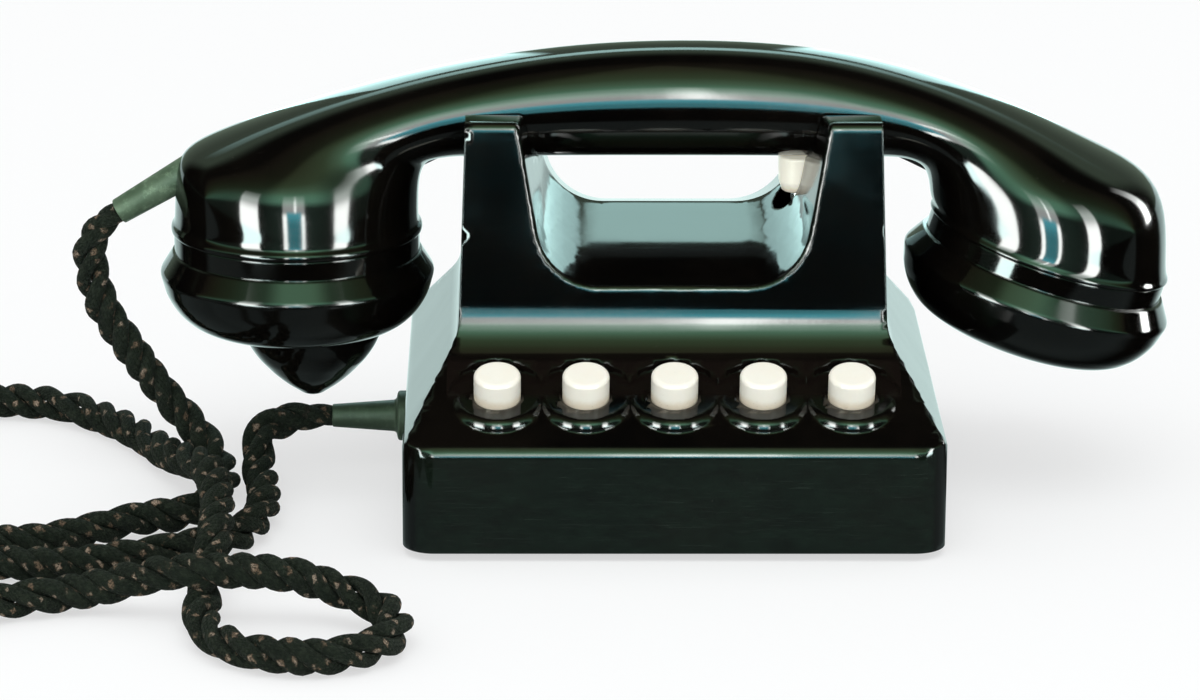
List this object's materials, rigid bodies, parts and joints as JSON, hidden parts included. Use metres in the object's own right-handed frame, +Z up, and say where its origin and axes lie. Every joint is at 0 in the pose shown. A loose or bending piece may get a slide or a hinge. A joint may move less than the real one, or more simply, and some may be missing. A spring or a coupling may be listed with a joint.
{
  "type": "desk telephone",
  "caption": "Black bakelite intercom desk telephone: stepped base with ivory push keys, handset lying in a raised cradle, and a twisted textile cord looped on the table.",
  "frame": {"origin": "on the table, under the middle of the base and handset", "axes": "+X to the right seen from the key side, +Y to the back, +Z up"},
  "size_m": [0.3557, 0.1964, 0.109],
  "materials": {
    "black_bakelite": "polished, high gloss",
    "ivory_plastic": "polished, aged ivory",
    "bright_steel": "turned",
    "plated_steel": "zinc plated sheet",
    "painted_steel": "black enamel",
    "contact_brass": "rolled",
    "brown_laminate": "cut laminate",
    "copper_winding": "enamelled wire",
    "soft_iron": "plain",
    "can_aluminium": "drawn can",
    "black_rubber": "moulded",
    "grey_green_rubber": "aged, moulded",
    "lead_rubber": "rubber covered wire",
    "braided_textile": "twisted, worn textile with light flecks"
  },
  "bodies": {
    "base": {"housing": "black_bakelite", "base_plate": "painted_steel", "rubber_feet": "black_rubber", "base_screws": "bright_steel", "key_frame": "plated_steel", "key_insulator": "brown_laminate", "contact_springs": "contact_brass", "key_spring_1": "bright_steel", "key_spring_2": "bright_steel", "key_spring_3": "bright_steel", "key_spring_4": "bright_steel", "key_spring_5": "bright_steel", "hook_spring": "bright_steel", "hook_bracket": "plated_steel", "hook_pin": "bright_steel", "hook_contacts": "contact_brass", "hook_insulators": "brown_laminate", "buzzer_yoke": "soft_iron", "buzzer_poles": "soft_iron", "buzzer_coils": "copper_winding", "coil_cheeks": "brown_laminate", "coil_core": "soft_iron", "coil_winding": "copper_winding", "capacitor": "can_aluminium", "terminal_block": "brown_laminate", "terminal_screws": "contact_brass", "base_leads": "lead_rubber", "cord_sleeve": "grey_green_rubber", "cord_drop": "braided_textile", "cord_floor": "braided_textile"},
    "handset": {"handset_shell": "black_bakelite", "mouthpiece_cap": "black_bakelite", "transmitter_capsule": "can_aluminium", "transmitter_contacts": "brown_laminate", "receiver_cap": "black_bakelite", "receiver_case": "soft_iron", "diaphragm": "soft_iron", "receiver_magnet": "soft_iron", "receiver_coils": "copper_winding", "receiver_contacts": "brown_laminate", "handset_lead": "lead_rubber", "handset_sleeve": "grey_green_rubber"},
    "key_1": {"button_cap_1": "ivory_plastic", "key_stem_1": "bright_steel"},
    "key_2": {"button_cap_2": "ivory_plastic", "key_stem_2": "bright_steel"},
    "key_3": {"button_cap_3": "ivory_plastic", "key_stem_3": "bright_steel"},
    "key_4": {"button_cap_4": "ivory_plastic", "key_stem_4": "bright_steel"},
    "key_5": {"button_cap_5": "ivory_plastic", "key_stem_5": "bright_steel"},
    "hook_plunger": {"hook_knob": "ivory_plastic", "hook_stem": "bright_steel"},
    "hook_arm": {"hook_lever": "bright_steel"},
    "armature": {"buzzer_armature": "soft_iron"}
  },
  "joints": [
    {"name": "handset_lift", "type": "slide", "parent": "base", "child": "handset", "axis": [0, 0, 1], "range_m": [0, 0.08], "deforming": ["cord_drop"]},
    {"name": "hook_plunge", "type": "slide", "parent": "base", "child": "hook_plunger", "axis": [0, 0, 1], "range_m": [0, 0.0061], "deforming": ["hook_spring"]},
    {"name": "hook_lever_turn", "type": "hinge", "parent": "base", "child": "hook_arm", "pos_m": [0.012, 0.007, 0.03], "axis": [0, -1, 0], "range_deg": [0, 17]},
    {"name": "key_press_1", "type": "slide", "parent": "base", "child": "key_1", "axis": [0, 0.2924, -0.9563], "range_m": [0, 0.0036], "stiffness_N_per_m": 400, "springref_m": -0.002, "deforming": ["key_spring_1"]},
    {"name": "key_press_2", "type": "slide", "parent": "base", "child": "key_2", "axis": [0, 0.2924, -0.9563], "range_m": [0, 0.0036], "stiffness_N_per_m": 400, "springref_m": -0.002, "deforming": ["key_spring_2"]},
    {"name": "key_press_3", "type": "slide", "parent": "base", "child": "key_3", "axis": [0, 0.2924, -0.9563], "range_m": [0, 0.0036], "stiffness_N_per_m": 400, "springref_m": -0.002, "deforming": ["key_spring_3"]},
    {"name": "key_press_4", "type": "slide", "parent": "base", "child": "key_4", "axis": [0, 0.2924, -0.9563], "range_m": [0, 0.0036], "stiffness_N_per_m": 400, "springref_m": -0.002, "deforming": ["key_spring_4"]},
    {"name": "key_press_5", "type": "slide", "parent": "base", "child": "key_5", "axis": [0, 0.2924, -0.9563], "range_m": [0, 0.0036], "stiffness_N_per_m": 400, "springref_m": -0.002, "deforming": ["key_spring_5"]},
    {"name": "buzzer_swing", "type": "hinge", "parent": "base", "child": "armature", "pos_m": [-0.0472, 0.033, 0.0244], "axis": [0, -1, 0], "range_deg": [-0.6, 1.5], "stiffness_Nm_per_rad": 0.5}
  ],
  "couplings": [
    {"joint": "hook_plunge", "follows": "handset_lift", "ratio": 0.075},
    {"joint": "hook_lever_turn", "follows": "handset_lift", "rad_per_m": 3.69}
  ]
}
